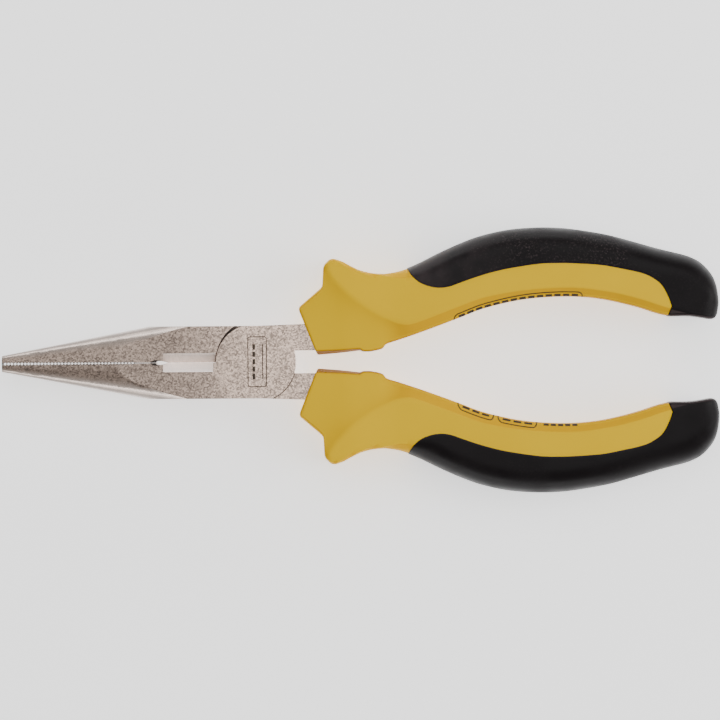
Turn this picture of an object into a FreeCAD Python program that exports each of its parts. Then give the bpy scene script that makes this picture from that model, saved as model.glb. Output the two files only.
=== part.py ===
"""Needle nose pliers with side cutter, lap joint and two-component grips.

Frame: the origin lies on the pivot axis, on the back face of the joint. +Z runs along the pivot axis
to the front face, +X along the closing line towards the handles, +Y to the side of the upper handle.
The pliers are closed. Both levers are the same forging, one turned half a turn about X.
All sizes are in millimetres.
"""

import FreeCAD, Part
import math
import os

import Sketcher
from FreeCAD import Placement, Rotation, Vector

SIZES = {
    # joint
    "head_thickness": 9.0,
    "head_half_width": 8.1,
    "disc_overhang": 0.8,
    "disc_clearance": 0.15,
    "lap_gap": 0.06,
    "face_gap": 0.02,
    "rivet_radius": 2.6,
    "rivet_head_radius": 3.9,
    "rivet_head_depth": 1.5,
    "rivet_clearance": 0.04,
    # nose
    "jaw_length": 56.8,
    "tip_half_width": 1.8,
    "tip_half_thickness": 1.3,
    "nose_taper": 0.192,
    "nose_rise": 0.123,
    # cutter
    "cutter_front": 20.7,
    "cutter_length": 11.2,
    "cutter_bevel": 2.05,
    "relief_length": 2.6,
    "relief_depth": 0.38,
    # teeth
    "teeth_end": 27.1,
    "tooth_pitch": 0.75,
    "tooth_depth": 0.34,
    # tang
    "tang_gap": 2.55,
    "tang_flare": 0.5,
    "tang_root": 16.5,
    "tang_width": 7.0,
    "tang_thickness": 5.0,
    "tang_end": 88.0,
    # grips
    "handle_length": 103.2,
    "handle_rise": 21.75,
    "guard_front": 9.4,
    "guard_reach": 14.7,
    "guard_wall": 1.05,
    "guard_thickness": 15.4,
    "neck_width": 15.7,
    "waist_width": 15.1,
    "palm_width": 15.6,
    "heel_width": 13.9,
    "palm_thickness": 13.6,
    "outer_rounding": 5.6,
    "inner_rounding": 2.2,
    "cover_wall": 2.0,
}

# The middle line of a handle and what is beside it: share of the length, share of the rise, width.
HANDLE_SPINE = (
    (0.2786, 0.5356, "neck_width"),
    (0.3343, 0.6069, "waist_width"),
    (0.3983, 0.7333, "waist_width"),
    (0.4845, 0.8874, "palm_width"),
    (0.5717, 0.9793, "palm_width"),
    (0.6492, 1.0, "palm_width"),
    (0.7229, 0.9678, "heel_width"),
    (0.7878, 0.9103, "heel_width"),
    (0.8430, 0.8368, "heel_width"),
    (0.8915, 0.7724, "heel_width"),
)

# The rounded heel: shares of the length left behind the inner and the outer side, each with its
# share of the rise, then the share of the thickness that is left.
HEEL = (
    (0.0891, 0.444, 0.0552, 1.039, 1.0),
    (0.0601, 0.441, 0.0291, 0.952, 0.96),
    (0.0378, 0.430, 0.0097, 0.809, 0.84),
    (0.0194, 0.414, 0.0010, 0.660, 0.66),
    (0.0097, 0.428, 0.0, 0.561, 0.45),
)

# The guard from its slanted front to the neck. Inner side: share of the guard's length and height
# over the slit. Outer side: share of the guard's length and share of its reach. Then the share of
# the way from the guard's thickness to the neck's.
GUARD = (
    (0.217, 0.00, 0.000, 0.265, 0.0),
    (0.393, 0.35, 0.284, 0.585, 0.0),
    (0.413, 0.40, 0.300, 0.884, 0.0),
    (0.486, 0.50, 0.419, 1.000, 0.0),
    (0.563, 0.65, 0.517, 0.966, 0.0),
    (0.713, 0.95, 0.698, 0.844, 0.33),
    (0.749, 0.70, 0.744, 0.816, 0.44),
    (0.961, 1.10, 0.858, 0.776, 0.67),
)

# Where the soft cover ends on the yellow sleeve: share of the length, share of the rise.
COVER_EDGE = (
    (0.3180, 1.0800),
    (0.3285, 0.9420),
    (0.3510, 0.8180),
    (0.3780, 0.7560),
    (0.4050, 0.7450),
    (0.4420, 0.7950),
    (0.4845, 0.8640),
    (0.5717, 0.9560),
    (0.6492, 0.9890),
    (0.7229, 0.9750),
    (0.7878, 0.9290),
    (0.8430, 0.8640),
    (0.8680, 0.7950),
    (0.8890, 0.6650),
    (0.8975, 0.5430),
    (0.8905, 0.4320),
    (0.8810, 0.3000),
)


class Size:
    """A length with the sheet expression that it comes from, so that one sum gives both."""

    def __init__(self, value, text):
        self.value = value
        self.text = text

    def combine(self, other, symbol, value):
        return Size(value, f"({self.text} {symbol} {other.text})")

    def __add__(self, other):
        other = as_size(other)
        return self.combine(other, "+", self.value + other.value)

    def __sub__(self, other):
        other = as_size(other)
        return self.combine(other, "-", self.value - other.value)

    def __mul__(self, other):
        other = as_size(other)
        return self.combine(other, "*", self.value * other.value)

    def __truediv__(self, other):
        other = as_size(other)
        return self.combine(other, "/", self.value / other.value)

    def __neg__(self):
        return Size(-self.value, f"(-1 * {self.text})")


def as_size(value):
    return value if isinstance(value, Size) else Size(float(value), repr(float(value)))


def size(name):
    return Size(SIZES[name], f"dims.{name}")


def write_sheet(doc):
    """Puts every driving dimension in a cell that has the dimension's own name."""
    sheet = doc.addObject("Spreadsheet::Sheet", "dims")
    for row, (name, value) in enumerate(SIZES.items(), start=1):
        sheet.set(f"A{row}", name)
        sheet.set(f"B{row}", str(value))
        sheet.setAlias(f"B{row}", name)
    doc.recompute()


def bind(feature, name, value):
    feature.setExpression(name, as_size(value).text)


# ---------------------------------------------------------------- sketches and body features


def add_sketch(body, name, plane="XY_Plane", along_normal=None):
    sketch = body.newObject("Sketcher::SketchObject", name)
    support = next(f for f in body.Origin.OriginFeatures if f.Role == plane)
    sketch.AttachmentSupport = [(support, "")]
    sketch.MapMode = "FlatFace"
    if along_normal is not None:
        bind(sketch, ".AttachmentOffset.Base.z", along_normal)
    return sketch


def constrain(sketch, kind, *where, to):
    index = sketch.addConstraint(Sketcher.Constraint(kind, *where, as_size(to).value))
    bind(sketch, f"Constraints[{index}]", to)


def draw_polygon(sketch, corners):
    """A closed outline of straight edges, with each corner's coordinates bound to the sheet."""
    corners = [(as_size(u), as_size(v)) for u, v in corners]
    points = [Vector(u.value, v.value, 0) for u, v in corners]
    count = len(points)
    for i in range(count):
        sketch.addGeometry(Part.LineSegment(points[i], points[(i + 1) % count]))
    for i in range(count):
        sketch.addConstraint(Sketcher.Constraint("Coincident", i, 2, (i + 1) % count, 1))
    for i, (u, v) in enumerate(corners):
        constrain(sketch, "DistanceX", i, 1, to=u)
        constrain(sketch, "DistanceY", i, 1, to=v)


def draw_circle(sketch, radius):
    sketch.addGeometry(Part.Circle(Vector(), Vector(0, 0, 1), radius.value))
    sketch.addConstraint(Sketcher.Constraint("Coincident", 0, 3, -1, 1))
    constrain(sketch, "Radius", 0, to=radius)


def draw_flatted_disc(sketch, radius, half_width):
    """A disc round the origin that is cut off flat at plus and minus half_width in y."""
    reach = math.asin(half_width.value / radius.value)
    circle = Part.Circle(Vector(), Vector(0, 0, 1), radius.value)
    right = Part.ArcOfCircle(circle, -reach, reach)
    left = Part.ArcOfCircle(circle, math.pi - reach, math.pi + reach)
    edges = (
        right,
        Part.LineSegment(right.EndPoint, left.StartPoint),
        left,
        Part.LineSegment(left.EndPoint, right.StartPoint),
    )
    for edge in edges:
        sketch.addGeometry(edge)
    for i in range(len(edges)):
        sketch.addConstraint(Sketcher.Constraint("Coincident", i, 2, (i + 1) % len(edges), 1))
    for arc in (0, 2):
        sketch.addConstraint(Sketcher.Constraint("Coincident", arc, 3, -1, 1))
    for line in (1, 3):
        sketch.addConstraint(Sketcher.Constraint("Horizontal", line))
    constrain(sketch, "Radius", 0, to=radius)
    constrain(sketch, "DistanceY", 1, 1, to=half_width)
    constrain(sketch, "DistanceY", 3, 1, to=-half_width)


def add_pad(body, name, sketch, length):
    """Pads the sketch by half the length to each side of its plane."""
    pad = body.newObject("PartDesign::Pad", name)
    pad.Profile = sketch
    pad.SideType = "Symmetric"
    bind(pad, "Length", length)
    return pad


def add_pocket(body, name, sketch, length=None, both_ways=False, reverse=False):
    """Cuts the sketch out of the body: to a length if one is given, otherwise through all."""
    pocket = body.newObject("PartDesign::Pocket", name)
    pocket.Profile = sketch
    pocket.SideType = "Symmetric" if both_ways else "One side"
    pocket.Reversed = reverse
    if length is None:
        pocket.Type = "ThroughAll"
    else:
        bind(pocket, "Length", length)
    return pocket


# ---------------------------------------------------------------- levers


def lever_blank(body):
    """The jaw, the joint's disc and the root of the tang, still square and full of metal."""
    half_width = size("head_half_width")
    thickness = size("head_thickness")
    gap = size("face_gap")
    jaw = add_sketch(body, "jaw_outline")
    jaw_corners = (
        (-size("jaw_length"), -gap),
        (-size("jaw_length"), -half_width),
        (0, -half_width),
        (0, -gap),
    )
    draw_polygon(jaw, jaw_corners)
    add_pad(body, "jaw", jaw, thickness)

    disc = add_sketch(body, "disc_outline")
    draw_flatted_disc(disc, half_width + size("disc_overhang"), half_width)
    add_pad(body, "disc", disc, thickness)

    root = add_sketch(body, "tang_root_outline")
    root_corners = (
        (0, size("tang_gap")),
        (size("tang_root"), size("tang_gap")),
        (size("tang_root"), half_width + size("tang_flare")),
        (0, half_width),
    )
    draw_polygon(root, root_corners)
    add_pad(body, "tang_root", root, thickness)


def cut_lap(body):
    """Takes the back half of the joint away, where the other lever's disc turns."""
    radius = size("head_half_width") + size("disc_overhang") + size("disc_clearance")
    sketch = add_sketch(body, "lap_outline", along_normal=size("lap_gap") / 2)
    draw_circle(sketch, radius)
    add_pocket(body, "lap", sketch)


def cut_rivet_hole(body, clearance):
    """A hole through the disc with a countersink in its face, as one groove round the pivot axis."""
    face = size("head_thickness") / 2
    shank = size("rivet_radius") + clearance
    head = size("rivet_head_radius") + clearance
    sketch = add_sketch(body, "rivet_hole_outline", plane="XZ_Plane")
    hole_corners = (
        (0, -face),
        (shank, -face),
        (shank, face - size("rivet_head_depth") - clearance),
        (head, face),
        (head, face + 1),
        (0, face + 1),
    )
    draw_polygon(sketch, hole_corners)
    groove = body.newObject("PartDesign::Groove", "rivet_hole")
    groove.Profile = sketch
    groove.ReferenceAxis = (sketch, ["V_Axis"])
    groove.Angle = 360.0


def cut_cutter(body):
    """Grinds a bevel from each face down to the cutting edge at half thickness."""
    face = size("head_thickness") / 2
    gap = size("face_gap")
    slope = size("cutter_bevel") / face
    overshoot = 1.0
    disc_radius = size("head_half_width") + size("disc_overhang")
    to_disc = size("cutter_front") - disc_radius + overshoot
    for name, side, length in (("front", 1, size("cutter_length")), ("back", -1, to_disc)):
        sketch = add_sketch(
            body, f"cutter_{name}_outline", plane="YZ_Plane", along_normal=-size("cutter_front")
        )
        bevel_corners = (
            (-gap, 0),
            (overshoot, 0),
            (overshoot, (face + overshoot) * side),
            (-(gap + slope * (face + overshoot)), (face + overshoot) * side),
        )
        draw_polygon(sketch, bevel_corners)
        add_pocket(body, f"cutter_{name}", sketch, length=length, reverse=True)


def cut_relief(body):
    """The small notch between the flat of the jaw and the cutter."""
    start = size("cutter_front") + 1.6
    end = start - size("relief_length")
    depth = size("relief_depth")
    gap = size("face_gap")
    sketch = add_sketch(body, "relief_outline")
    relief_corners = (
        (-start, 1),
        (-start, -gap),
        (-start + 0.3, -(gap + depth)),
        (-start + 1.3, -(gap + depth)),
        (-end, -gap),
        (-end, 1),
    )
    draw_polygon(sketch, relief_corners)
    add_pocket(body, "relief", sketch, both_ways=True)


def cut_teeth(body):
    """One V groove across the gripping face, repeated from the tip back to the plain part."""
    pitch = size("tooth_pitch")
    gap = size("face_gap")
    first = -size("jaw_length") + pitch
    sketch = add_sketch(body, "tooth_outline")
    tooth_corners = (
        (first - pitch / 2, -gap + 0.01),
        (first, -(gap + size("tooth_depth"))),
        (first + pitch / 2, -gap + 0.01),
    )
    draw_polygon(sketch, tooth_corners)
    groove = add_pocket(body, "tooth", sketch, both_ways=True)
    row = size("jaw_length") - size("teeth_end")
    pattern = body.newObject("PartDesign::LinearPattern", "teeth")
    pattern.Originals = [groove]
    pattern.Direction = (sketch, ["H_Axis"])
    pattern.Mode = "Spacing"
    bind(pattern, "Offset", pitch)
    pattern.setExpression("Occurrences", f"floor({(row / pitch).text})")
    body.Tip = pattern


def nose_section(x, half_width, half_thickness):
    """A squared oval across the nose, made of four cubic arcs that meet square at the axes."""
    fullness = 0.709
    corners = (
        (half_width, 0),
        (half_width, half_thickness * fullness),
        (half_width * fullness, half_thickness),
        (0, half_thickness),
    )
    edges = []
    for across, up in ((1, 1), (-1, 1), (-1, -1), (1, -1)):
        poles = [Vector(x, across * y, up * z) for y, z in corners]
        if across * up < 0:
            poles.reverse()
        curve = Part.BezierCurve()
        curve.setPoles(poles)
        edges.append(curve.toBSpline().toShape())
    return Part.Wire(edges)


def nose_envelope(doc):
    """The tapered nose: everything outside it is ground away. Behind it a block keeps the head whole."""
    value = {name: Size(number, name).value for name, number in SIZES.items()}
    tip = -value["jaw_length"]
    # behind the cutter the nose has grown past the head's corners, so the block can take over
    back = value["cutter_length"] - value["cutter_front"]
    grown = back - tip
    sections = (
        nose_section(tip, value["tip_half_width"], value["tip_half_thickness"]),
        nose_section(
            back,
            value["tip_half_width"] + value["nose_taper"] * grown,
            value["tip_half_thickness"] + value["nose_rise"] * grown,
        ),
    )
    nose = Part.makeLoft(list(sections), True, True)
    half_width = 2 * value["head_half_width"]
    length = value["tang_root"] + 1 - back
    block = Part.makeBox(
        length,
        2 * half_width,
        value["head_thickness"] + 2,
        Vector(back - 0.5, -half_width, -value["head_thickness"] / 2 - 1),
    )
    feature = doc.addObject("Part::Feature", "nose_envelope")
    feature.Shape = nose.fuse(block)
    return feature


# ---------------------------------------------------------------- handles


def spine_points():
    """The middle line of the upper handle with the width beside each point."""
    length, rise = SIZES["handle_length"], SIZES["handle_rise"]
    return [(Vector(u * length, v * rise, 0), SIZES[name]) for u, v, name in HANDLE_SPINE]


def outward_at(points):
    """For each point of a line, the direction square to it that points away from the other handle."""
    curve = Part.BSplineCurve()
    curve.interpolate(points)
    outward = []
    for point in points:
        tangent = curve.tangent(curve.parameter(point))[0]
        outward.append(Vector(-tangent.y, tangent.x, 0).normalize())
    return outward


def rounded_section(inner, outer, half_thickness, inset=0.0):
    """A closed wire across a handle, from its inner to its outer side, with rounded corners.

    inset takes the same thickness off all round."""
    across = (outer - inner).normalize()
    width = (outer - inner).Length - 2 * inset
    start = inner + across * inset
    half = half_thickness - inset
    inner_radius = min(SIZES["inner_rounding"], 0.4 * width, 0.8 * half)
    outer_radius = min(SIZES["outer_rounding"] - inset, 0.5 * width, 0.86 * half)

    def at(u, z):
        return start + across * u + Vector(0, 0, z)

    def corner(u, z, du, dz, radius):
        """The middle of a rounded corner whose sharp corner would be at u, z."""
        slack = radius * (1 - math.sqrt(0.5))
        return at(u + du * slack, z + dz * slack)

    ri, ro, w = inner_radius, outer_radius, width
    edges = [
        Part.LineSegment(at(0, ri - half), at(0, half - ri)),
        Part.Arc(at(0, half - ri), corner(0, half, 1, -1, ri), at(ri, half)),
        Part.LineSegment(at(ri, half), at(w - ro, half)),
        Part.Arc(at(w - ro, half), corner(w, half, -1, -1, ro), at(w, half - ro)),
        Part.LineSegment(at(w, half - ro), at(w, ro - half)),
        Part.Arc(at(w, ro - half), corner(w, -half, -1, 1, ro), at(w - ro, -half)),
        Part.LineSegment(at(w - ro, -half), at(ri, -half)),
        Part.Arc(at(ri, -half), corner(0, -half, 1, 1, ri), at(0, ri - half)),
    ]
    return Part.Wire([edge.toShape() for edge in edges])


def handle_sides():
    """Inner point, outer point and half thickness at each station from the neck to the heel."""
    points = [point for point, width in spine_points()]
    half = SIZES["palm_thickness"] / 2
    sides = []
    for (point, width), outward in zip(spine_points(), outward_at(points)):
        sides.append((point - outward * (width / 2), point + outward * (width / 2), half))
    end, rise = SIZES["handle_length"], SIZES["handle_rise"]
    for inner_back, inner_y, outer_back, outer_y, share in HEEL:
        inner = Vector(end * (1 - inner_back), inner_y * rise, 0)
        outer = Vector(end * (1 - outer_back), outer_y * rise, 0)
        sides.append((inner, outer, half * share))
    return sides


def guard_sides():
    """The same for the guard, from its slanted front to the neck."""
    front, reach = SIZES["guard_front"], SIZES["guard_reach"]
    low = SIZES["tang_gap"] - SIZES["guard_wall"]
    half = SIZES["guard_thickness"] / 2
    neck_inner, neck_outer, neck_half = handle_sides()[0]
    length = (neck_inner.x + neck_outer.x) / 2 - front
    sides = []
    for inner_share, height, outer_share, reach_share, thinning in GUARD:
        inner = Vector(front + inner_share * length, low + height, 0)
        outer_y = SIZES["head_half_width"] + reach_share * reach
        outer = Vector(front + outer_share * length, outer_y, 0)
        sides.append((inner, outer, half + thinning * (neck_half - half)))
    return [*sides, (neck_inner, neck_outer, neck_half)]


def loft(sides, inset=0.0, ruled=False):
    wires = [rounded_section(inner, outer, half, inset) for inner, outer, half in sides]
    return Part.makeLoft(wires, True, ruled)


def grip_envelope(doc):
    """The whole outside of a grip, sleeve and cover together."""
    feature = doc.addObject("Part::Feature", "grip_envelope")
    feature.Shape = loft(guard_sides(), ruled=True).fuse(loft(handle_sides()))
    return feature


def grip_core(doc):
    """What the cover is moulded round: the handle made thinner by the cover's wall."""
    feature = doc.addObject("Part::Feature", "grip_core")
    feature.Shape = loft(handle_sides()[:-3], inset=SIZES["cover_wall"])
    return feature


def cover_region(doc):
    """The space that the soft cover takes, seen along Z: outside its edge on the sleeve."""
    length, rise = SIZES["handle_length"], SIZES["handle_rise"]
    edge = Part.BSplineCurve()
    edge.interpolate([Vector(u * length, v * rise, 0) for u, v in COVER_EDGE])
    far_x, far_y = 1.2 * length, 2 * rise
    corners = (
        edge.EndPoint,
        Vector(far_x, edge.EndPoint.y, 0),
        Vector(far_x, far_y, 0),
        Vector(edge.StartPoint.x, far_y, 0),
        edge.StartPoint,
    )
    sides = [Part.LineSegment(a, b).toShape() for a, b in zip(corners, corners[1:])]
    face = Part.Face(Part.Wire([edge.toShape(), *sides]))
    depth = SIZES["guard_thickness"] + SIZES["palm_thickness"]
    face.translate(Vector(0, 0, -depth / 2))
    feature = doc.addObject("Part::Feature", "cover_region")
    feature.Shape = face.extrude(Vector(0, 0, depth))
    return feature


def tang_bar(doc):
    """The forged bar inside a grip, from the tang's root along the handle's middle line."""
    half = SIZES["tang_thickness"] / 2
    # the bar leaves the root just outside the root's inner edge and then bends up the handle
    start = Vector(SIZES["tang_root"] - 3, SIZES["tang_gap"] + SIZES["tang_width"] / 2 + 0.05, 0)
    handle = [point for point, width in spine_points() if point.x <= SIZES["tang_end"]]
    points = [start, start + (handle[0] - start) * 0.4, *handle]
    wires = []
    for point, outward in zip(points, outward_at(points)):
        side = outward * (SIZES["tang_width"] / 2)
        up = Vector(0, 0, half)
        corners = [point - side - up, point - side + up, point + side + up, point + side - up]
        wires.append(Part.makePolygon(corners + corners[:1]))
    feature = doc.addObject("Part::Feature", "tang_bar")
    feature.Shape = Part.makeLoft(wires, True, False)
    return feature


# ---------------------------------------------------------------- the seven pieces


def boolean(doc, kind, name, first, second):
    feature = doc.addObject(kind, name)
    if kind == "Part::MultiFuse":
        feature.Shapes = [first, second]
    else:
        feature.Base = first
        feature.Tool = second
    return feature


def make_lever(doc, label, rivet_clearance, nose, bar):
    """A lever, and the forging without its bar, from which the sleeve's socket is taken."""
    body = doc.addObject("PartDesign::Body", f"{label}_forging")
    lever_blank(body)
    cut_lap(body)
    cut_rivet_hole(body, rivet_clearance)
    cut_cutter(body)
    cut_relief(body)
    cut_teeth(body)
    ground = boolean(doc, "Part::Common", f"{label}_ground", body, nose)
    return boolean(doc, "Part::MultiFuse", label, ground, bar), ground


def make_rivet(doc, label):
    """A rivet whose two heads fill the countersinks and are ground flush with the joint's faces."""
    body = doc.addObject("PartDesign::Body", label)
    face = size("head_thickness") / 2
    neck = face - size("rivet_head_depth")
    shank, head = size("rivet_radius"), size("rivet_head_radius")
    sketch = add_sketch(body, "rivet_outline", plane="XZ_Plane")
    rivet_corners = ((0, -face), (head, -face), (shank, -neck), (shank, neck), (head, face), (0, face))
    draw_polygon(sketch, rivet_corners)
    turned = body.newObject("PartDesign::Revolution", "rivet_turned")
    turned.Profile = sketch
    turned.ReferenceAxis = (sketch, ["V_Axis"])
    turned.Angle = 360.0
    return body


def make_grip_blanks(doc):
    """The cover before it is hollowed, the handle's core, and the sleeve before it is socketed."""
    envelope = grip_envelope(doc)
    region = cover_region(doc)
    core = grip_core(doc)
    skin = boolean(doc, "Part::Common", "grip_skin", envelope, region)
    bare = boolean(doc, "Part::Cut", "grip_bare", envelope, region)
    return skin, core, boolean(doc, "Part::MultiFuse", "grip_solid", bare, core)


def put_in_place(feature, turned):
    """Stands the piece on the joint's back face, turned half a turn about X for the other side."""
    angle = 180.0 if turned else 0.0
    feature.Placement = Placement(Vector(), Rotation(Vector(1, 0, 0), angle))
    bind(feature, ".Placement.Base.z", size("head_thickness") / 2)


def check(doc, nodes):
    """Stops the build if any object failed or any piece isn't one whole solid."""
    for feature in doc.Objects:
        if {"Invalid", "Error"} & set(feature.State):
            raise RuntimeError(f"{feature.Label} failed: {feature.State}")
    for node in nodes:
        shape = node.Shape
        if shape.isNull() or not shape.isValid() or len(shape.Solids) != 1:
            raise RuntimeError(f"{node.Label} is not one valid solid")


def main():
    doc = FreeCAD.newDocument("needle_nose_pliers")
    write_sheet(doc)
    nose = nose_envelope(doc)
    bar = tang_bar(doc)
    skin, core, solid = make_grip_blanks(doc)
    rivet = make_rivet(doc, "pivot_rivet")
    put_in_place(rivet, False)
    nodes = [rivet]

    # the rivet is fast in the lower jaw's lever, and the upper jaw's lever turns on it
    levers = (
        ("lower_jaw_lever", "upper", as_size(0), False),
        ("upper_jaw_lever", "lower", size("rivet_clearance"), True),
    )
    for label, side, clearance, turned in levers:
        lever, ground = make_lever(doc, label, clearance, nose, bar)
        cover = boolean(doc, "Part::Cut", f"{side}_grip_cover", skin, core)
        rooted = boolean(doc, "Part::Cut", f"{side}_rooted", solid, ground)
        sleeve = boolean(doc, "Part::Cut", f"{side}_grip_sleeve", rooted, bar)
        for node in (lever, sleeve, cover):
            put_in_place(node, turned)
            nodes.append(node)

    doc.recompute()
    check(doc, nodes)
    os.makedirs("parts", exist_ok=True)
    for node in nodes:
        node.Shape.exportStep(f"parts/{node.Label}.step")
        box = node.Shape.optimalBoundingBox(True, False)
        print(node.Label, round(node.Shape.Volume, 1), [round(v, 2) for v in (
            box.XMin, box.XMax, box.YMin, box.YMax, box.ZMin, box.ZMax)])


main()
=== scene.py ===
"""Needle nose pliers: satin forged steel with yellow and black two-component grips."""

import math

import bmesh
import bpy
import numpy as np
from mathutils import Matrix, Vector


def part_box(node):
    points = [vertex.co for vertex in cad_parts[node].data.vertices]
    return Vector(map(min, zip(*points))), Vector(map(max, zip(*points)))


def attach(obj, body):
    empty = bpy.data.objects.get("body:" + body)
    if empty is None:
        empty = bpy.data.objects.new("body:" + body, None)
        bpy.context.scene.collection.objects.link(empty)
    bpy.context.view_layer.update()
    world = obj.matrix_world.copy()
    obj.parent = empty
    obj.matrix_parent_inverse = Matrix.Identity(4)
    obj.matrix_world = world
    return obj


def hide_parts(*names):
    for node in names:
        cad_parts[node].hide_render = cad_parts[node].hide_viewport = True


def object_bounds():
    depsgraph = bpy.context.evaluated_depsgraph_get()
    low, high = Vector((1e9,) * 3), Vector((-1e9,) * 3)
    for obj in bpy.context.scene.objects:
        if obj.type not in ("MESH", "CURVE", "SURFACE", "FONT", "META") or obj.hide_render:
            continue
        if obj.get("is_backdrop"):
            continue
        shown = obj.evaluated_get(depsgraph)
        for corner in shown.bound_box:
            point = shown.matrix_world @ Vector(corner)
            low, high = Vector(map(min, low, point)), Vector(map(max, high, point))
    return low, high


bl_info = {
    "name": "Needle Nose Pliers",
    "version": (1, 0, 0),
    "blender": (4, 5, 0),
    "location": "View3D > Sidebar > Pliers",
    "description": "Builds the finish of needle nose pliers round their CAD frame",
    "category": "Object",
}

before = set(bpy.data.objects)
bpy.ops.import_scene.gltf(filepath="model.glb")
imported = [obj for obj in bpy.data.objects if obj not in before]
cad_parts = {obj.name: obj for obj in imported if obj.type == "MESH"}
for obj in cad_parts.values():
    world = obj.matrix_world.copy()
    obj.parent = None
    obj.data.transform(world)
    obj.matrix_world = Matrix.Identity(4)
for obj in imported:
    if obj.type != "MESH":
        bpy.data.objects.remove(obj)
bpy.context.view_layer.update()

MM = 0.001
UPPER, LOWER = "upper", "lower"
BODY_OF_GRIP = {UPPER: "lower_jaw_side", LOWER: "upper_jaw_side"}

# What the CAD frame says, in metres.
JAW_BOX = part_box("lower_jaw_lever")
GUARD_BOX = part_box("upper_grip_sleeve")
HANDLE_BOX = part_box("upper_grip_cover")
JAW_LENGTH = -JAW_BOX[0].x
FACE_Z = JAW_BOX[1].z
MIDDLE_Z = FACE_Z / 2

# Sizes inside the levers, which no box gives, as the CAD has them: along the pliers from the
# rivet, but for the pitch, the oval's half length and half width, and the radius.
TOOTH_PITCH = 0.75 * MM
TEETH_END = -27.0 * MM
RELIEF_FRONT = -23.4 * MM
RELIEF_X = -22.3 * MM
RELIEF_OVAL = (1.3 * MM, 0.62 * MM)
DISC_EDGE = 8.975 * MM
# The cutter's ends, and those of the plain closing line before it, as shares of the jaw's length,
# and how far from the closing line the cutter's slopes and the teeth reach.
CUTTER_ENDS = (-0.37, -0.16)
CLOSING_ENDS = (-0.48, -0.37)
CUTTER_SIDE = 2.2 * MM
TEETH_SIDE = 0.45 * MM
# Edges that turn by more than this are broken.
SHARP = math.radians(26)

# Points closer than this are one point.
SAME_POINT = 0.002 * MM

# A handle as drawn, in millimetres, is this long and this high above the closing line.
DRAWN_LENGTH = 103.2
DRAWN_RISE = 29.74

# Pairs of points that face each other across a grip, from the guard's front to the heel:
# inner x and y, then outer x and y.
GUARD_SIDES = (
    (13.6, 1.5, 9.4, 12.0), (17.5, 1.8, 14.9, 16.7), (18.0, 1.85, 15.15, 21.4),
    (18.6, 1.9, 16.5, 22.8), (19.5, 2.0, 17.5, 23.0), (20.5, 2.1, 19.4, 22.35),
    (21.6, 2.25, 21.0, 21.45), (23.3, 2.45, 22.9, 20.5), (23.8, 2.15, 23.9, 20.15),
    (25.5, 2.15, 25.75, 19.7), (27.4, 2.5, 27.4, 19.54), (28.5, 2.9, 28.4, 19.5),
    (28.85, 3.7, 28.8, 19.5),
)
HANDLE_SIDES = (
    (29.6, 4.0, 29.6, 19.6), (32.2, 4.8, 31.4, 19.9), (36.65, 6.3, 33.8, 20.6),
    (41.1, 7.9, 36.65, 21.8), (45.6, 9.6, 41.1, 24.0), (50.0, 11.3, 45.6, 26.0),
    (54.5, 12.5, 50.0, 27.6), (59.0, 13.4, 56.0, 28.95), (63.5, 13.9, 62.0, 29.45),
    (68.0, 14.1, 68.0, 29.35), (72.4, 14.0, 73.6, 28.65), (76.9, 13.5, 79.2, 27.6),
    (81.3, 12.6, 84.6, 26.1), (85.8, 11.4, 89.8, 24.6), (88.8, 10.4, 93.4, 23.7),
    (90.6, 9.9, 95.6, 23.15), (92.2, 9.65, 97.4, 22.5), (94.2, 9.65, 99.2, 21.5),
    (96.8, 9.6, 101.0, 19.75), (99.4, 9.25, 102.2, 17.9), (101.2, 8.95, 102.85, 15.9),
    (102.25, 9.15, 103.15, 13.7), (102.75, 10.0, 103.2, 12.9), (102.95, 10.8, 103.2, 12.2),
)

# The edge of the soft cover on the sleeve, from the outer side to the inner side.
COVER_EDGE = (
    (33.8, 20.6), (34.9, 18.9), (36.65, 17.4), (38.9, 16.5), (41.1, 16.2), (43.35, 16.5),
    (45.6, 17.3), (50.0, 18.8), (54.5, 20.0), (59.0, 20.8), (63.5, 21.4), (67.0, 21.5),
    (70.2, 21.45), (76.9, 21.0), (81.3, 20.2), (85.8, 19.2), (88.0, 18.3), (90.3, 16.6),
    (91.8, 14.0), (92.6, 11.8),
)

# The crease between a grip's flat and the facet that falls away from it, from the guard's wing
# down to the inner edge and on along the handle.
CREASE = (
    (15.6, 24.6), (16.1, 21.2), (17.0, 19.1), (20.4, 15.4), (23.5, 12.9), (27.5, 10.4),
    (30.2, 9.1), (32.2, 8.4), (34.2, 8.2), (36.65, 8.85), (41.1, 10.5), (45.6, 12.2),
    (50.0, 13.8), (54.5, 14.8), (59.0, 15.5), (63.5, 15.9), (68.0, 16.1), (72.4, 16.0),
    (76.9, 15.4), (81.3, 14.6), (85.8, 13.4), (90.3, 11.9), (93.0, 11.1), (96.0, 10.3),
    (99.0, 9.4), (104.0, 8.0),
)


# ---- sizes and colours


def number(name, description, value, **more):
    return bpy.props.FloatProperty(name=name, description=description, default=value, **more)


def length(name, description, millimetres):
    return number(name, description, millimetres * MM, unit="LENGTH", precision=6)


def whole(name, description, value):
    return bpy.props.IntProperty(name=name, description=description, default=value)


def colour(name, description, value):
    return bpy.props.FloatVectorProperty(
        name=name, description=description, default=value, size=3, subtype="COLOR", min=0, max=1
    )


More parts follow.
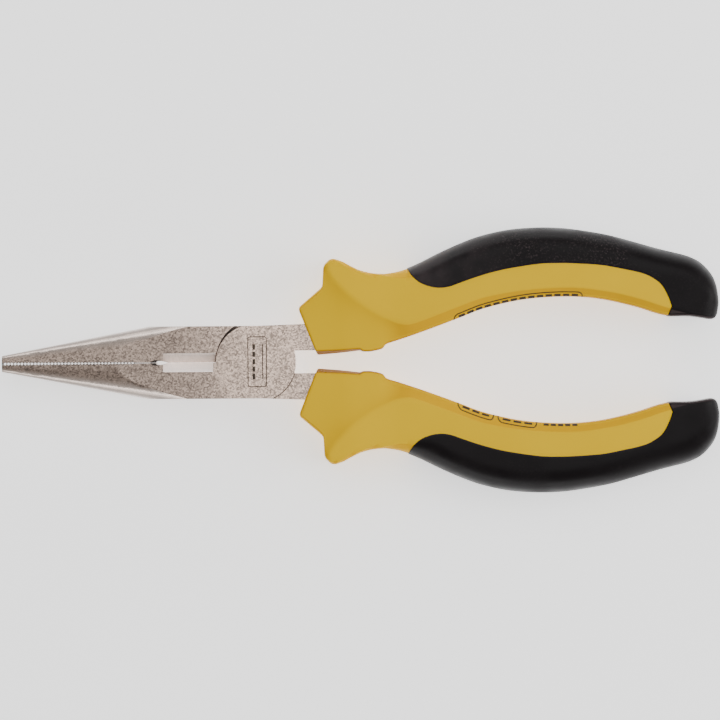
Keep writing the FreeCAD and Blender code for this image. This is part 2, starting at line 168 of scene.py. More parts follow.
class GripSizes(bpy.types.PropertyGroup):
    """Sizes of the grips' surfaces."""

    row_step: length("Row step", "Distance between rows of faces along a grip", 0.4)
    wall_faces: whole("Wall faces", "Faces from the inner middle to the inner edge", 4)
    edge_faces: whole("Edge faces", "Faces round the inner edge", 4)
    facet_faces: whole("Facet faces", "Faces from the inner edge to the crease", 12)
    flat_faces: whole("Flat faces", "Faces from the crease to the seam", 16)
    outer_faces: whole("Outer faces", "Faces from the seam to the outer middle", 24)
    front_draft: length("Front draft", "How far the slit's wall leans back at its front", 0.85)
    back_draft: length("Back draft", "How far the slit's wall leans back at its end", 0.35)
    wall_draft: length("Wall draft", "How far the handle's inner wall leans back", 0.12)
    inner_edge: length("Inner edge", "Rounding where the face meets the inner wall", 0.45)
    guard_edge: length("Guard edge", "Rounding of the guard's outer edge", 0.7)
    handle_edge: length("Handle edge", "Rounding of the handle's outer side", 5.4)
    facet_fall: length("Facet fall", "Depth that the guard's facet loses near the crease", 1.0)
    facet_reach: length("Facet reach", "How far from the crease that loss is spread", 3.0)
    guard_slope: number("Guard slope", "How much the guard's facet goes on falling", 0.13)
    strip_slope: number("Strip slope", "Fall of the strip along the handle's inner edge", 0.62)
    heel_rounding: length("Heel rounding", "Length over which the heel thins to its end", 8.0)
    cover_rise: length("Cover rise", "How far the cover stands above the sleeve", 0.15)
    cover_lip: length("Cover lip", "Width of the cover's rounded edge", 0.4)


class MarkSizes(bpy.types.PropertyGroup):
    """Sizes of the plain marks on the steel and the grips."""

    broken_edge: length("Broken edge", "Width of the break along the steel's edges", 0.07)
    line_width: length("Line width", "Width of a stamped or printed line", 0.22)
    line_height: length("Line height", "How far a stamped or printed line stands up", 0.03)
    frame_centre_x: length("Frame centre X", "Middle of the joint's frame along the pliers", 0.3)
    frame_centre_y: length("Frame centre Y", "Middle of the joint's frame across the pliers", 0.1)
    frame_width: length("Frame width", "Width of the frame on the joint", 4.1)
    frame_height: length("Frame height", "Height of the frame on the joint", 11.1)
    frame_corner: length("Frame corner", "Corner radius of a frame", 0.5)
    dash_inset: length("Dash inset", "From the frame's left side to its row of dashes", 1.3)
    line_inset: length("Line inset", "From the frame's right side to its thin line", 0.85)
    line_share: number("Line share", "The thin line's length as a share of the frame's", 0.7)
    dash_width: length("Dash width", "Width of the dashes in the joint's frame", 0.6)
    dash_length: length("Dash length", "Length of a dash in the joint's frame", 1.2)
    dash_pitch: length("Dash pitch", "Distance between the dashes in the joint's frame", 1.65)
    print_dash_width: length("Print dash width", "Width of the dashes printed on a grip", 0.34)
    print_end: length("Print end", "From the inner edge to where a printed outline ends", 0.15)
    print_bend: length("Print bend", "Length of an outline's rounded end", 0.9)
    print_margin: length("Print margin", "From a print's end to its first dash", 0.7)


class Finishes(bpy.types.PropertyGroup):
    """Colours of the materials."""

    steel_light: colour("Steel, light", "Shot-blasted steel where it is clean", (0.99, 0.75, 0.61))
    steel_dark: colour("Steel, dark", "Steel between the grains", (0.33, 0.25, 0.205))
    steel_flank: colour("Steel, flanks", "The smoother steel of the flanks", (0.68, 0.62, 0.58))
    # Painted shade for the teeth's gaps, the relief and the disc's edge.
    painted_gap_shade: colour("Grime", "What settles in the levers' gaps", (0.02, 0.014, 0.011))
    # Painted light: the lower blade's slope is lit and the upper blade's shaded; the lit colour
    # also paints the closing line's highlight.
    painted_lit_steel: colour("Steel, ground", "The lower blade's fresh slope", (1.0, 0.90, 0.85))
    painted_shaded_steel: colour("Steel, honed", "The upper blade's slope", (0.84, 0.74, 0.67))
    yellow: colour("Yellow", "The sleeves' plastic", (0.87, 0.545, 0.0))
    # Mostly painted shade on the sleeves' slopes, with a little of the moulding's random tone.
    yellow_tone_and_shade: colour("Yellow, deep", "The sleeves on their slopes", (0.70, 0.385, 0.0))
    # Painted shade in the guards' slit.
    yellow_slit_shade: colour("Yellow, walls", "The sleeves in the guards' slit", (0.46, 0.20, 0.0))
    black: colour("Black", "The covers' soft plastic", (0.0055, 0.004, 0.0045))
    # The covers' dust, and a painted sheen on the tongue and the inner facet.
    black_sheen_and_dust: colour("Black, dusty", "The grain's tops on the covers", (0.055, 0.040, 0.042))
    ink: colour("Ink", "Printed and stamped lines", (0.03, 0.018, 0.008))
    floor: colour("Floor", "The floor", (0.93, 0.93, 0.93))


class StageSizes(bpy.types.PropertyGroup):
    """The camera and the lights."""

    view_width: length("View width", "Width of what the camera sees at the pliers", 160.9)
    view_centre_x: length("View centre X", "Middle of the view along the pliers", 23.2)
    view_centre_y: length("View centre Y", "Middle of the view across the pliers", 0.3)
    view_roll: number(
        "Roll", "Turn of the camera about its line of sight", math.radians(-0.44), subtype="ANGLE"
    )
    focal_length: number(
        "Focal length", "The camera's focal length", 300.0, subtype="DISTANCE_CAMERA"
    )
    top_power: number("Top power", "Power of the light over the pliers", 3.9, unit="POWER")
    side_power: number("Side power", "Power of the low lights at the sides", 0.9, unit="POWER")
    back_power: number("Back power", "Power of the light past the handles", 3.4, unit="POWER")
    sky_strength: number("Sky strength", "Brightness of the white surroundings", 0.3)


# ---- materials


def fill(tree, node, inputs):
    """Gives a node's inputs their values, or links them to the outputs given."""
    for key, value in inputs.items():
        if isinstance(value, bpy.types.NodeSocket):
            tree.links.new(value, node.inputs[key])
        else:
            node.inputs[key].default_value = value


def add(tree, kind, inputs=None, **settings):
    """The outputs of a new node, with its settings made and its inputs filled or linked."""
    made = tree.nodes.new(kind)
    for key, value in settings.items():
        setattr(made, key, value)
    fill(tree, made, inputs or {})
    return made.outputs


class Finish:
    """A material in the making, with short calls for the nodes that its shader needs."""

    def __init__(self, name):
        self.material = bpy.data.materials.new(name)
        self.material.use_nodes = True
        self.tree = self.material.node_tree
        coordinates = self.add("ShaderNodeTexCoord")
        self.where, self.normal = coordinates["Object"], coordinates["Normal"]

    def done(self, **inputs):
        """Fills the shader's inputs, named with _ for a space, and gives the material."""
        named = {key.replace("_", " "): value for key, value in inputs.items()}
        fill(self.tree, self.tree.nodes["Principled BSDF"], named)
        return self.material

    def add(self, kind, inputs=None, **settings):
        return add(self.tree, kind, inputs, **settings)

    def noise(self, scale, detail=2.0, roughness=0.5, squeeze=None):
        where = self.where
        if squeeze:
            where = self.add("ShaderNodeMapping", {"Vector": where, "Scale": squeeze})["Vector"]
        inputs = {"Vector": where, "Scale": scale, "Detail": detail, "Roughness": roughness}
        return self.add("ShaderNodeTexNoise", inputs)["Fac"]

    def spread(self, value, low, high, to_low=0.0, to_high=1.0):
        """Brings low..high to to_low..to_high, held at the ends; low may be above high."""
        ends = {"From Min": low, "From Max": high, "To Min": to_low, "To Max": to_high}
        return self.add("ShaderNodeMapRange", {"Value": value, **ends})["Result"]

    def mix(self, amount, first, second):
        """Blends two numbers."""
        return self.add("ShaderNodeMix", {"Factor": amount, "A": first, "B": second})["Result"]

    def mix_colours(self, amount, first, second):
        mix = self.tree.nodes.new("ShaderNodeMix")
        mix.data_type = "RGBA"
        given = {"Factor_Float": amount, "A_Color": first, "B_Color": second}
        for place, socket in enumerate(mix.inputs):
            value = given.get(socket.identifier)
            if value is not None:
                plain = not isinstance(value, bpy.types.NodeSocket)
                fill(self.tree, mix, {place: (*value, 1.0) if plain else value})
        return next(s for s in mix.outputs if s.identifier == "Result_Color")

    def bump(self, height, strength, distance):
        inputs = {"Height": height, "Strength": strength, "Distance": distance}
        return self.add("ShaderNodeBump", inputs)["Normal"]

    def math(self, operation, first, second=0.0, clamp=False):
        settings = {"operation": operation, "use_clamp": clamp}
        return self.add("ShaderNodeMath", {0: first, 1: second}, **settings)[0]

    def chain(self, operation, first, *others):
        for other in others:
            first = self.math(operation, first, other)
        return first

    def times(self, *values):
        return self.chain("MULTIPLY", *values)

    def greatest(self, *values):
        return self.chain("MAXIMUM", *values)

    def off(self, value, middle):
        """How far a value is from a middle one."""
        return self.math("ABSOLUTE", self.math("SUBTRACT", value, middle))

    def parts(self, vector):
        return self.add("ShaderNodeSeparateXYZ", {"Vector": vector})

    def facing_up(self):
        """How far a surface faces the front or the back of the piece, from 0 to 1."""
        return self.math("ABSOLUTE", self.parts(self.normal)[2])

    def facing_out(self):
        """How far a surface faces away from the closing line, from -1 to 1."""
        side = self.math("SIGN", self.parts(self.where)[1])
        return self.times(self.parts(self.normal)[1], side)


def teeth_shade(steel, x, beside):
    """Painted shade in the gaps between the teeth, along the closing line."""
    half_pitch = TOOTH_PITCH / 2
    from_tooth = steel.math("SUBTRACT", x, JAW_BOX[0].x + TOOTH_PITCH)
    wave = steel.math("PINGPONG", from_tooth, half_pitch)
    reach = steel.spread(wave, 0.0, half_pitch, 0.42 * MM, 0.12 * MM)
    past = steel.math("SUBTRACT", beside, reach)
    line = steel.spread(past, 0.05 * MM, -0.03 * MM)
    return steel.times(line, steel.math("LESS_THAN", x, TEETH_END))


def relief_shade(steel, x, y):
    """Painted shade at the front of the relief before the cutter: a soft-edged oval."""
    along = steel.math("DIVIDE", steel.math("SUBTRACT", x, RELIEF_X), RELIEF_OVAL[0])
    across = steel.math("DIVIDE", y, RELIEF_OVAL[1])
    square = steel.math("ADD", steel.times(along, along), steel.times(across, across))
    return steel.spread(square, 1.2, 0.7)


def disc_edge_shade(steel, x, y, z):
    """Painted shade along the disc's edge ahead of the rivet, wider toward the side: at +y on the
    front and at -y on the back."""
    flat = {0: steel.where, 1: (1.0, 1.0, 0.0)}
    flat = steel.add("ShaderNodeVectorMath", flat, operation="MULTIPLY")
    radius = steel.add("ShaderNodeVectorMath", {0: flat[0]}, operation="LENGTH")
    off_edge = steel.off(radius["Value"], DISC_EDGE)
    front = steel.math("SIGN", steel.math("SUBTRACT", z, MIDDLE_Z))
    reach = steel.spread(steel.times(y, front), 0.5 * MM, 7.6 * MM, -0.1 * MM, 0.30 * MM)
    arc = steel.spread(steel.math("SUBTRACT", off_edge, reach), 0.09 * MM, 0.0)
    return steel.times(arc, steel.spread(x, -2.0 * MM, -3.0 * MM))


def closing_line_highlight(steel, x, beside):
    """A painted highlight where the closing edges' breaks catch light, between the teeth and the
    relief.
    """
    near = steel.spread(beside, 0.15 * MM, 0.06 * MM)
    past_teeth = steel.math("GREATER_THAN", x, TEETH_END)
    return steel.times(near, past_teeth, steel.math("LESS_THAN", x, RELIEF_FRONT))


def satin_steel(name, looks, roughness):
    """Shot-blasted steel: a mottled warm grey, peened into fine grains, with streaks along its
    smoother flanks; painted shade darkens it toward the nose, on a strip of the flanks and in the
    gaps, and a painted highlight lies along the closing line."""
    steel = Finish(name)
    x, y, z = steel.parts(steel.where)
    beside = steel.math("ABSOLUTE", y)
    cells = steel.add("ShaderNodeTexVoronoi", {"Vector": steel.where, "Scale": 3500.0})
    grain = steel.add("ShaderNodeSeparateColor", {"Color": cells["Color"]})[0]
    clouds = steel.noise(260.0, 1.0)
    tilt = steel.facing_up()
    flank = steel.spread(tilt, 0.965, 0.87)

    streaks = steel.spread(steel.noise(900.0, 3.0, 0.6, (0.08, 1.0, 1.0)), 0.3, 0.7, 0.55, 0.9)
    finish = steel.mix(flank, steel.spread(grain, 0.0, 1.0, -0.1, 1.1), streaks)
    mottle = steel.spread(clouds, 0.35, 0.65, -0.1, 0.1)
    light = steel.math("ADD", finish, mottle, clamp=True)
    tint = steel.mix_colours(light, looks.steel_dark, looks.steel_light)
    tint = steel.mix_colours(steel.times(flank, 0.5), tint, looks.steel_flank)

    # Painted shade: the nose is darker, and so is the strip of the flank that slopes most but isn't
    # upright.
    edge = steel.math("ADD", x, steel.times(clouds, 8.0 * MM))
    nose = steel.spread(edge, -12.0 * MM, 2.0 * MM, 0.52, 0.0)
    nose = steel.times(nose, steel.spread(flank, 0.0, 1.0, 1.0, 0.5))
    strip = steel.times(
        steel.spread(tilt, 0.7, 0.6), steel.spread(tilt, 0.2, 0.4), 0.6
    )
    tint = steel.mix_colours(steel.greatest(nose, strip), tint, (0.0, 0.0, 0.0))

    # A painted highlight along the closing line.
    tint = steel.mix_colours(closing_line_highlight(steel, x, beside), tint, looks.painted_lit_steel)
    # Painted shade in the teeth's gaps, the relief and the disc's edge, kept to the flat faces.
    painted_gap_shade = steel.greatest(
        teeth_shade(steel, x, beside), relief_shade(steel, x, y), disc_edge_shade(steel, x, y, z)
    )
    on_flats = steel.spread(tilt, 0.6, 0.8)
    blasted = steel.spread(grain, 0.0, 1.0, roughness + 0.06, roughness - 0.04)
    return steel.done(
        Base_Color=steel.mix_colours(steel.times(painted_gap_shade, on_flats), tint, looks.painted_gap_shade),
        Metallic=0.6,
        Roughness=steel.mix(flank, blasted, 0.72 * roughness),
        Normal=steel.bump(steel.noise(2600.0, 3.0, 0.7), 0.3, 0.05 * MM),
    )


def painted_lit_steel(name, bright, painted_glow):
    """Steel ground at the cutting edges, with fine marks across them; its colour is painted lit or
    shaded, and it has a painted glow.
    """
    steel = Finish(name)
    marks = steel.noise(2400.0, 3.0, 0.6, (1.0, 0.15, 0.15))
    dull = tuple(0.88 * c for c in bright)
    return steel.done(
        Base_Color=steel.mix_colours(steel.spread(marks, 0.35, 0.65), dull, bright),
        Metallic=0.1,
        # A painted glow that stands in for the slope catching light.
        Emission_Color=(1.0, 0.93, 0.89, 1.0),
        Emission_Strength=painted_glow,
        Roughness=steel.spread(marks, 0.3, 0.7, 0.5, 0.38),
        Normal=steel.bump(marks, 0.1, 0.03 * MM),
    )


def moulded_yellow(name, looks):
    """Semi-gloss plastic with the faint unevenness of a moulding, and painted shade that makes it
    deeper on its slopes and deepest in the slit between the guards."""
    plastic = Finish(name)
    flow, skin = plastic.noise(90.0), plastic.noise(2600.0)
    # Painted shade on the slopes, by how far they turn from the face, plus a little random tone.
    slope_shade = plastic.spread(plastic.facing_up(), 0.992, 0.88, 0.0, 0.9)
    amount = plastic.math("ADD", slope_shade, plastic.spread(flow, 0.35, 0.65, 0.0, 0.1))
    tint = plastic.mix_colours(amount, looks.yellow, looks.yellow_tone_and_shade)
    beside = plastic.math("ABSOLUTE", plastic.parts(plastic.where)[1])
    # Painted shade on the walls of the slit between the guards that face the closing line.
    slit_shade = plastic.times(
        plastic.spread(plastic.facing_out(), -0.62, -0.9),
        plastic.spread(beside, 1.8 * MM, 7.5 * MM, 1.0, 0.1),
    )
    return plastic.done(
        Base_Color=plastic.mix_colours(slit_shade, tint, looks.yellow_slit_shade),
        Roughness=plastic.spread(skin, 0.3, 0.7, 0.5, 0.42),
        Normal=plastic.bump(skin, 0.12, 0.02 * MM),
        Specular_IOR_Level=0.03,
    )


def soft_black(name, looks):
    """Soft plastic: nearly black, dusty on the grain's tops of the upper cover but for its heel,
    with a painted sheen that makes the tongue at the front and the inner facet paler."""
    plastic = Finish(name)
    x, y = plastic.parts(plastic.where)[:2]
    grain, rubbed = plastic.noise(2300.0, 4.0, 0.7), plastic.noise(130.0, 3.0)
    tops = plastic.spread(grain, 0.52, 0.72)
    worn = plastic.spread(rubbed, 0.40, 0.60, 0.15, 1.0)
    upper = plastic.spread(y, -10.0 * MM, 10.0 * MM, 0.12, 1.0)
    off_heel = plastic.spread(x, 80.0 * MM, 92.0 * MM, 1.0, 0.15)
    tongue_sheen = plastic.spread(x, 40.0 * MM, 58.0 * MM, 0.5, 0.0)
    # Dust on the grain's tops; a painted sheen on the tongue and on the inner facet, which faces
    # the closing line.
    dust_and_sheen = plastic.greatest(
        plastic.times(tops, worn, upper, off_heel),
        plastic.times(tongue_sheen, upper, worn),
        plastic.spread(plastic.facing_out(), -0.3, -0.5, 0.0, 0.7),
    )
    return plastic.done(
        Base_Color=plastic.mix_colours(dust_and_sheen, looks.black, looks.black_sheen_and_dust),
        Roughness=plastic.spread(rubbed, 0.4, 0.65, 0.36, 0.52),
        Normal=plastic.bump(grain, 0.3, 0.05 * MM),
        Specular_IOR_Level=0.14,
    )


def dull_ink(name, looks):
    """Ink that lies a little unevenly."""
    ink = Finish(name)
    cover = ink.spread(ink.noise(900.0), 0.35, 0.7)
    thin = tuple(c * 1.5 for c in looks.ink)
    return ink.done(Base_Color=ink.mix_colours(cover, looks.ink, thin), Roughness=0.6)


def matt_floor(name, looks):
    """A pale matt floor that lights the pliers a little from below."""
    floor = Finish(name)
    tone = floor.spread(floor.noise(40.0), 0.3, 0.7, 0.98, 1.0)
    return floor.done(
        Base_Color=floor.mix_colours(tone, (0.8, 0.8, 0.8), looks.floor),
        Roughness=0.9,
        Emission_Color=(1.0, 1.0, 1.0, 1.0),
        Emission_Strength=1.15,
    )


def material_named(name):
    """The finished material of that name, made the first time that it is asked for."""
    found = bpy.data.materials.get(name)
    if found:
        return found
    looks = bpy.context.scene.pliers_finishes
    makers = {
        "forged_steel": lambda: satin_steel(name, looks, roughness=0.31),
        "ground_rivet": lambda: satin_steel(name, looks, roughness=0.30),
        "yellow_sleeve": lambda: moulded_yellow(name, looks),
        "black_cover": lambda: soft_black(name, looks),
        # Painted light: the lower blade's slope is lit and glows, the upper one is shaded.
        "painted_lit_edges": lambda: painted_lit_steel(name, looks.painted_lit_steel, painted_glow=0.55),
        "painted_shaded_edges": lambda: painted_lit_steel(name, looks.painted_shaded_steel, painted_glow=0.05),
        "dark_ink": lambda: dull_ink(name, looks),
        "pale_floor": lambda: matt_floor(name, looks),
    }
    return makers[name]()


# ---- meshes


def finish_piece(obj, body, materials, nodes=()):
    """Gives a piece its finish and its body, and hides the CAD nodes that it stands for."""
    used = [min(face.material_index, len(materials) - 1) for face in obj.data.polygons]
    obj.data.materials.clear()
    for material in materials:
        obj.data.materials.append(material_named(material))
    obj.data.polygons.foreach_set("material_index", used)
    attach(obj, body)
    if nodes:
        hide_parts(*nodes)


def in_scene(name, data):
    """A new object of that name in the scene."""
    obj = bpy.data.objects.new(name, data)
    bpy.context.scene.collection.objects.link(obj)
    return obj


def check_closed(work, name):
    open_edges = sum(not edge.is_manifold for edge in work.edges)
    if open_edges:
        raise RuntimeError(f"{name} has {open_edges} open edges")


def mesh_object(name, points, faces, crease_angle=32.0):
    """A closed shell as an object, smooth but for the edges that turn by more than the angle."""
    mesh = bpy.data.meshes.new(name)
    mesh.from_pydata([tuple(p) for p in points], [], faces)
    work = bmesh.new()
    work.from_mesh(mesh)
    loose = [v for v in work.verts if not v.link_faces]
    bmesh.ops.delete(work, geom=loose, context="VERTS")
    bmesh.ops.remove_doubles(work, verts=work.verts, dist=SAME_POINT)
    bmesh.ops.recalc_face_normals(work, faces=work.faces)
    limit = math.radians(crease_angle)
    for face in work.faces:
        face.smooth = True
    for edge in work.edges:
        edge.smooth = edge.is_manifold and edge.calc_face_angle(0.0) < limit
    check_closed(work, name)
    if work.calc_volume(signed=True) < 0:
        bmesh.ops.reverse_faces(work, faces=work.faces)
    work.to_mesh(mesh)
    work.free()
    return in_scene(name, mesh)


def rounded_through(points, step):
    """Points at most a step apart on a smooth curve through the given ones."""
    points = np.array(points, float)
    gaps = np.linalg.norm(np.diff(points, axis=0), axis=1)
    rows = []
    for i, gap in enumerate(gaps):
        before, here, there = points[max(i - 1, 0)], points[i], points[i + 1]
        after = points[min(i + 2, len(points) - 1)]
        gap_before = gaps[i - 1] if i else gap
        gap_after = gaps[i + 1] if i + 1 < len(gaps) else gap
        leave = (there - before) * gap / (gap_before + gap if i else gap)
        arrive = (after - here) * gap / (gap_after + gap if i + 1 < len(gaps) else gap)
        t = np.arange(max(2, math.ceil(gap / step)))[:, None]
        t = t / len(t)
        rows.append(
            here * (2 * t**3 - 3 * t**2 + 1)
            + leave * (t**3 - 2 * t**2 + t)
            + there * (3 * t**2 - 2 * t**3)
            + arrive * (t**3 - t**2)
        )
    return np.vstack([*rows, points[-1:]])


def straight_through(points, step):
    """Points at most a step apart on the straight runs between the given ones."""
    points = np.array(points, float)
    rows = []
    for here, there in zip(points, points[1:]):
        count = max(1, math.ceil(np.linalg.norm(there - here) / step))
        rows.append(here + (there - here) * np.arange(count)[:, None] / count)
    return np.vstack(rows)


def to_cad(points, side):
    """Brings drawn millimetres to metres in the frame, on the upper or the lower side."""
    x, y, z = np.moveaxis(np.asarray(points, float), -1, 0)
    x = x * HANDLE_BOX[1].x / DRAWN_LENGTH
    y = y * HANDLE_BOX[1].y / DRAWN_RISE
    turn = 1 if side == UPPER else -1
    return np.stack([x, turn * y, turn * z * MM + MIDDLE_Z], axis=-1)


def eased(value, start, end):
    """0 before the start, 1 past the end and a smooth step between."""
    t = np.clip((value - start) / (end - start), 0, 1)
    return t**2 * (3 - 2 * t)


class GripSurface:
    """The outside of a grip as rows across it, with the seam along one line of each row.

    Everything here is in drawn millimetres, with the middle of the thickness at z = 0."""

    # Distances from the seam of the rows and places that lie close beside it.
    CLOSE = (0.1, 0.22, 0.42, 0.75)
    # Where the slit's wall starts and ends, and where the guard gives way to the handle: in
    # thickness, in the facet's slope and in how the outer side is rounded.
    SLIT_ENDS = (13.6, 23.2, 23.9)
    NECK, STRIP_START, OUTER_START = (19.0, 32.0), (27.0, 35.0), (27.0, 42.0)
    # Powers of the rounded sides, on the guard and on the handle, and of the heel's end.
    GUARD_POWER, HANDLE_POWER, HEEL_POWER = 3.2, 2.35, 2.3
    # Step between the raw rows, how many of them a corner is softened over, and where the ridge
    # leaves the guard's wing.
    FINE, SOFTENED_OVER, WING_END = 0.1, 2.4, 17.2
    # How far the rows nearest the front draw in, and over what length.
    FRONT_IN, FRONT_OVER = 0.35, 0.55

    def __init__(self, sizes):
        self.sizes = sizes
        handle = rounded_through((GUARD_SIDES[-1], *HANDLE_SIDES), self.FINE)
        sides = np.vstack([straight_through(GUARD_SIDES, self.FINE), handle])
        raw = self.distances(sides)
        self.along = np.arange(0, raw[-1], self.FINE)
        even_sides = np.stack([np.interp(self.along, raw, c) for c in sides.T], axis=1)
        self.side_rows = self.softened(even_sides, self.SOFTENED_OVER)
        self.crease = rounded_through(CREASE, 0.8)
        ridge = rounded_through(CREASE, 0.25)
        past_wing = ridge[ridge[:, 0] > self.WING_END]
        self.crease_along, self.crease_share = self.crossings(past_wing)
        self.seam_along, self.seam_share = self.crossings(rounded_through(COVER_EDGE, 0.25))
        self.cover_start, self.cover_end = self.seam_along[0], self.seam_along[-1]

    @staticmethod
    def distances(sides):
        steps = np.diff(sides, axis=0)
        mean = (np.hypot(steps[:, 0], steps[:, 1]) + np.hypot(steps[:, 2], steps[:, 3])) / 2
        return np.concatenate([[0.0], np.cumsum(mean)])

    @staticmethod
    def softened(rows, width):
        """Takes the corners off by a running mean with bell-shaped weights, ends held."""
        reach = int(3 * width)
        bell = np.exp(-0.5 * (np.arange(-reach, reach + 1) / width) ** 2)
        bell /= bell.sum()
        out = rows.copy()
        for i, column in enumerate(rows.T):
            before = 2 * column[0] - column[reach:0:-1]
            after = 2 * column[-1] - column[-2 : -reach - 2 : -1]
            padded = np.concatenate([before, column, after])
            out[:, i] = np.convolve(padded, bell, mode="valid")
        return out

    def sides_at(self, u):
        columns = [np.interp(u, self.along, c) for c in self.side_rows.T]
        return np.array(columns[:2]), np.array(columns[2:])

    def crossings(self, curve):
        """Where a curve crosses the rows: distances along the grip, in order, and the shares of
        the way from inner to outer."""
        inner, outer = self.side_rows[:, :2], self.side_rows[:, 2:]
        across = outer - inner
        where, shares = [], []
        for point in curve:
            offset = point - inner
            beyond = across[:, 0] * offset[:, 1] - across[:, 1] * offset[:, 0]
            change = np.nonzero(np.diff(np.sign(beyond)))[0]
            if len(change) == 0:
                continue
            k = change[0]
            t = beyond[k] / (beyond[k] - beyond[k + 1])
            row_inner = inner[k] + t * (inner[k + 1] - inner[k])
            row_across = across[k] + t * (across[k + 1] - across[k])
            where.append(self.along[k] + t * (self.along[k + 1] - self.along[k]))
            shares.append((point - row_inner) @ row_across / (row_across @ row_across))
        order = np.argsort(where)
        return np.array(where)[order], np.array(shares)[order]

    def beside_crease(self, xy):
        """Distance from the crease, positive on the facet's side."""
        start, step = self.crease[:-1], np.diff(self.crease, axis=0)
        offset = xy[:, None, :] - start[None]
        t = np.clip((offset * step).sum(-1) / (step * step).sum(-1), 0, 1)
        away = offset - t[..., None] * step
        distance = np.linalg.norm(away, axis=-1)
        nearest = distance.argmin(axis=1)
        pick = np.arange(len(xy))
        run, gap = step[nearest], away[pick, nearest]
        cross = run[:, 0] * gap[:, 1] - run[:, 1] * gap[:, 0]
        return -np.sign(cross) * distance[pick, nearest]

    def half_thickness(self, xy, u):
        """Half the thickness over points of the row at u, before the sides round off."""
        sizes = self.sizes
        guard = (GUARD_BOX[1].z - GUARD_BOX[0].z) / 2 / MM
        handle = (HANDLE_BOX[1].z - HANDLE_BOX[0].z) / 2 / MM
        flat = guard + (handle - guard) * eased(xy[:, 0], *self.NECK)
        beside = self.beside_crease(xy)
        soft = 0.12
        facet = (beside + np.sqrt(beside**2 + soft**2)) / 2
        on_guard = sizes.facet_fall / MM * (1 - np.exp(-facet / (sizes.facet_reach / MM)))
        on_guard = on_guard + sizes.guard_slope * facet
        on_handle = sizes.strip_slope * facet
        fall = on_guard + (on_handle - on_guard) * eased(xy[:, 0], *self.STRIP_START)
        left = np.clip((self.along[-1] - u) / (sizes.heel_rounding / MM), 0, 1)
        heel = (1 - (1 - left) ** self.HEEL_POWER) ** (1 / self.HEEL_POWER)
        return (flat - fall) * max(heel, 0.12)

    def half_row(self, u):
        """The front half of the row at u, from the inner middle to the outer middle, and how far
        each of its points is past the seam."""
        sizes = self.sizes
        inner, outer = self.sides_at(u)
        width = np.linalg.norm(outer - inner)
        settle = eased((inner[0] + outer[0]) / 2, *self.OUTER_START)
        edge = (sizes.guard_edge + (sizes.handle_edge - sizes.guard_edge) * settle) / MM
        edge = min(edge, 0.46 * width)
        squareness = self.GUARD_POWER + (self.HANDLE_POWER - self.GUARD_POWER) * settle
        leans = (sizes.front_draft, sizes.back_draft, sizes.wall_draft)
        lean = np.interp(inner[0], self.SLIT_ENDS, leans) / MM
        lean = min(lean, 0.1 * width)
        fillet = min(sizes.inner_edge / MM, 0.12 * width)

        top = np.linspace(lean + fillet, width - edge, 90)
        turn = np.linspace(0, 1, 60)[1:]
        bend = 1 - (1 - turn) ** 1.8
        across = np.concatenate([top, width - edge + edge * bend])
        height = self.half_thickness(inner + (outer - inner) * (across / width)[:, None], u)
        height[-len(bend):] *= np.clip(1 - bend**squareness, 0, 1) ** (1 / squareness)
        corner = np.linspace(0, math.pi / 2, sizes.edge_faces + 1)[:-1]
        depth = min(fillet, 0.5 * height[0])
        wall = np.linspace(0, 1, sizes.wall_faces + 1)[:-1]
        before_face = np.concatenate([lean * wall, lean + fillet * (1 - np.cos(corner))])
        before_height = np.concatenate(
            [(height[0] - depth) * wall, height[0] - depth * (1 - np.sin(corner))]
        )

        reach = np.concatenate([[0.0], np.cumsum(np.hypot(np.diff(across), np.diff(height)))])
        end = reach[-1]

        def reach_of(along, shares):
            return np.interp(np.interp(u, along, shares) * width, across, reach)

        near = np.array(self.CLOSE) * min(1.0, end / 12)
        past_cover = np.clip((u - self.cover_end) / 3.0, 0, 1)
        seam = reach_of(self.seam_along, self.seam_share)
        seam += past_cover * (0.5 * end - seam)
        seam = np.clip(seam, 1.7 * near[-1], end - 2 * near[-1])
        crease = reach_of(self.crease_along, self.crease_share)
        crease = np.clip(crease, 0.3 * near[-1], seam - 1.2 * near[-1])
        facet = np.linspace(0, crease, sizes.facet_faces + 1)[:-1]
        flat = np.linspace(crease, seam - near[-1], sizes.flat_faces - 3)
        after = np.linspace(seam + near[-1], end, sizes.outer_faces - 3)
        kept = np.concatenate([facet, flat, seam - near[-2::-1], [seam], seam + near[:-1], after])
        across = np.concatenate([before_face, np.interp(kept, reach, across)])
        z = np.concatenate([before_height, np.interp(kept, reach, height)])
        z[-1] = 0.0
        xy = inner + (outer - inner) * (across / width)[:, None]
        beside = np.concatenate([before_face - before_face[-1] - seam - 0.1, kept - seam])
        return np.column_stack([xy, z]), beside

    def row_places(self):
        """Distances of the rows: even, but close together at the ends and at the cover's ends."""
        step = self.sizes.row_step / MM
        end = self.along[-1]
        places = list(np.arange(0, end, step))
        exact = [0.0, 0.12, 0.3, 0.55, self.cover_start, self.cover_end, end - 0.001]
        for at in (self.cover_start, self.cover_end):
            exact += [at + sign * d for sign in (-1, 1) for d in self.CLOSE]
        exact += [end - d for d in (0.25, 0.5, 0.75, 1.0, 1.3)]
        places = [p for p in places if min(abs(p - e) for e in exact) > 0.09]
        return np.array(sorted(places + exact))

